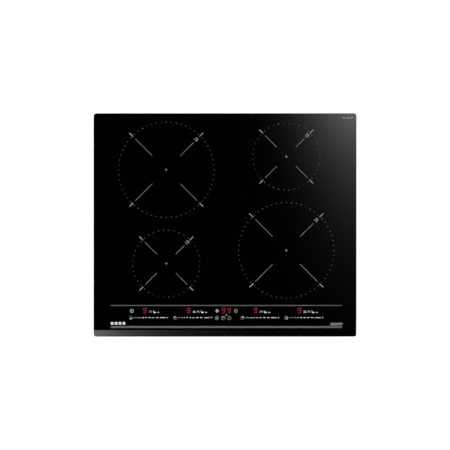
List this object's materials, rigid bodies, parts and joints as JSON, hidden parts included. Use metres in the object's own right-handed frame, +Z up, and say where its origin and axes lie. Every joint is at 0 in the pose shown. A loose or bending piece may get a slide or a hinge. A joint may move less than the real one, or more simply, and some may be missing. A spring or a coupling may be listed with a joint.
{
  "type": "induction hob",
  "caption": "Frameless built-in induction hob with a black glass top, dotted cooking zones, a printed touch panel along the bevelled front edge and a steel casing with blowers below.",
  "frame": {"origin": "middle of the glass plate's outline, on the plane of the casing's underside", "axes": "+X to the right as the cook sees it, +Y towards the back, +Z up; the bevelled front edge and touch panel face -Y"},
  "size_m": [0.6, 0.51, 0.054],
  "materials": {
    "black_glass": "polished black glass-ceramic with pale grey printing",
    "silicone": "matt black bonding bead",
    "foam": "matt foam strip",
    "sheet_steel": "zinc-coated sheet, dull spangle",
    "aluminium": "mill-finish sheet and extrusion",
    "copper": "enamelled copper strands",
    "ferrite": "matt fired ferrite",
    "mica": "pressed mica sheet",
    "coil_plastic": "moulded, matt",
    "ceramic": "glazed ceramic",
    "spring_steel": "drawn wire",
    "black_plastic": "moulded, fine texture",
    "grey_plastic": "moulded, matt",
    "circuit_board": "lacquered circuit board",
    "capacitor": "potted box capacitors",
    "white_plastic": "moulded, matt",
    "ribbon": "flat ribbon cable",
    "zinc": "bright zinc plate"
  },
  "bodies": {
    "hob": {"glass_plate": "black_glass", "bonding_bead": "silicone", "worktop_seal": "foam", "casing_tray": "sheet_steel", "filter_board": "circuit_board", "line_choke": "copper", "terminal_housing": "white_plastic", "terminal_block": "ceramic", "cable_gland": "black_plastic", "touch_carrier": "black_plastic", "touch_board": "circuit_board", "display_light_box": "white_plastic", "ribbon_cable": "ribbon", "coil_tray_left": "aluminium", "board_carrier_left": "black_plastic", "power_board_left": "circuit_board", "heat_sink_left": "aluminium", "capacitor_bank_left": "capacitor", "fan_housing_left": "black_plastic", "coil_tray_right": "aluminium", "board_carrier_right": "black_plastic", "power_board_right": "circuit_board", "heat_sink_right": "aluminium", "capacitor_bank_right": "capacitor", "fan_housing_right": "black_plastic", "clamp_screw_front_left": "zinc", "clamp_screw_front_right": "zinc", "clamp_screw_back_left": "zinc", "clamp_screw_back_right": "zinc"},
    "fan_left": {"fan_impeller_left": "grey_plastic"},
    "fan_right": {"fan_impeller_right": "grey_plastic"},
    "coil_back_left": {"coil_former_back_left": "coil_plastic", "coil_winding_back_left": "copper", "ferrite_star_back_left": "ferrite", "mica_sheet_back_left": "mica", "coil_spring_back_left": "spring_steel"},
    "sensor_back_left": {"pan_sensor_back_left": "ceramic"},
    "coil_front_left": {"coil_former_front_left": "coil_plastic", "coil_winding_front_left": "copper", "ferrite_star_front_left": "ferrite", "mica_sheet_front_left": "mica", "coil_spring_front_left": "spring_steel"},
    "sensor_front_left": {"pan_sensor_front_left": "ceramic"},
    "coil_back_right": {"coil_former_back_right": "coil_plastic", "coil_winding_back_right": "copper", "ferrite_star_back_right": "ferrite", "mica_sheet_back_right": "mica", "coil_spring_back_right": "spring_steel"},
    "sensor_back_right": {"pan_sensor_back_right": "ceramic"},
    "coil_front_right": {"coil_former_front_right": "coil_plastic", "coil_winding_front_right": "copper", "ferrite_star_front_right": "ferrite", "mica_sheet_front_right": "mica", "coil_spring_front_right": "spring_steel"},
    "sensor_front_right": {"pan_sensor_front_right": "ceramic"},
    "terminal_flap": {"terminal_cover": "black_plastic"},
    "clamp_front_left": {"clamp_arm_front_left": "zinc"},
    "clamp_front_right": {"clamp_arm_front_right": "zinc"},
    "clamp_back_left": {"clamp_arm_back_left": "zinc"},
    "clamp_back_right": {"clamp_arm_back_right": "zinc"}
  },
  "joints": [
    {"name": "fan_spin_left", "type": "hinge", "parent": "hob", "child": "fan_left", "pos_m": [-0.19, 0.182, 0.014], "axis": [0, 0, 1], "continuous": true},
    {"name": "fan_spin_right", "type": "hinge", "parent": "hob", "child": "fan_right", "pos_m": [0.19, 0.182, 0.014], "axis": [0, 0, 1], "continuous": true},
    {"name": "coil_float_back_left", "type": "slide", "parent": "hob", "child": "coil_back_left", "axis": [0, 0, 1], "range_m": [-0.003, 0], "stiffness_N_per_m": 1500, "springref_m": 0.012, "deforming": ["coil_spring_back_left"]},
    {"name": "sensor_plunge_back_left", "type": "slide", "parent": "coil_back_left", "child": "sensor_back_left", "axis": [0, 0, 1], "range_m": [-0.002, 0], "stiffness_N_per_m": 300, "springref_m": 0.003},
    {"name": "coil_float_front_left", "type": "slide", "parent": "hob", "child": "coil_front_left", "axis": [0, 0, 1], "range_m": [-0.003, 0], "stiffness_N_per_m": 900, "springref_m": 0.012, "deforming": ["coil_spring_front_left"]},
    {"name": "sensor_plunge_front_left", "type": "slide", "parent": "coil_front_left", "child": "sensor_front_left", "axis": [0, 0, 1], "range_m": [-0.002, 0], "stiffness_N_per_m": 300, "springref_m": 0.003},
    {"name": "coil_float_back_right", "type": "slide", "parent": "hob", "child": "coil_back_right", "axis": [0, 0, 1], "range_m": [-0.003, 0], "stiffness_N_per_m": 900, "springref_m": 0.012, "deforming": ["coil_spring_back_right"]},
    {"name": "sensor_plunge_back_right", "type": "slide", "parent": "coil_back_right", "child": "sensor_back_right", "axis": [0, 0, 1], "range_m": [-0.002, 0], "stiffness_N_per_m": 300, "springref_m": 0.003},
    {"name": "coil_float_front_right", "type": "slide", "parent": "hob", "child": "coil_front_right", "axis": [0, 0, 1], "range_m": [-0.003, 0], "stiffness_N_per_m": 1500, "springref_m": 0.012, "deforming": ["coil_spring_front_right"]},
    {"name": "sensor_plunge_front_right", "type": "slide", "parent": "coil_front_right", "child": "sensor_front_right", "axis": [0, 0, 1], "range_m": [-0.002, 0], "stiffness_N_per_m": 300, "springref_m": 0.003},
    {"name": "terminal_cover_hinge", "type": "hinge", "parent": "hob", "child": "terminal_flap", "pos_m": [0.095, 0.1705, 0.0033], "axis": [-1, 0, 0], "range_deg": [0, 100]},
    {"name": "clamp_swing_front_left", "type": "hinge", "parent": "hob", "child": "clamp_front_left", "pos_m": [-0.261, -0.185, 0.005], "axis": [0, 0, 1], "range_deg": [0, 90]},
    {"name": "clamp_swing_front_right", "type": "hinge", "parent": "hob", "child": "clamp_front_right", "pos_m": [0.261, -0.185, 0.005], "axis": [0, 0, -1], "range_deg": [0, 90]},
    {"name": "clamp_swing_back_left", "type": "hinge", "parent": "hob", "child": "clamp_back_left", "pos_m": [-0.261, 0.185, 0.005], "axis": [0, 0, -1], "range_deg": [0, 90]},
    {"name": "clamp_swing_back_right", "type": "hinge", "parent": "hob", "child": "clamp_back_right", "pos_m": [0.261, 0.185, 0.005], "axis": [0, 0, 1], "range_deg": [0, 90]}
  ]
}
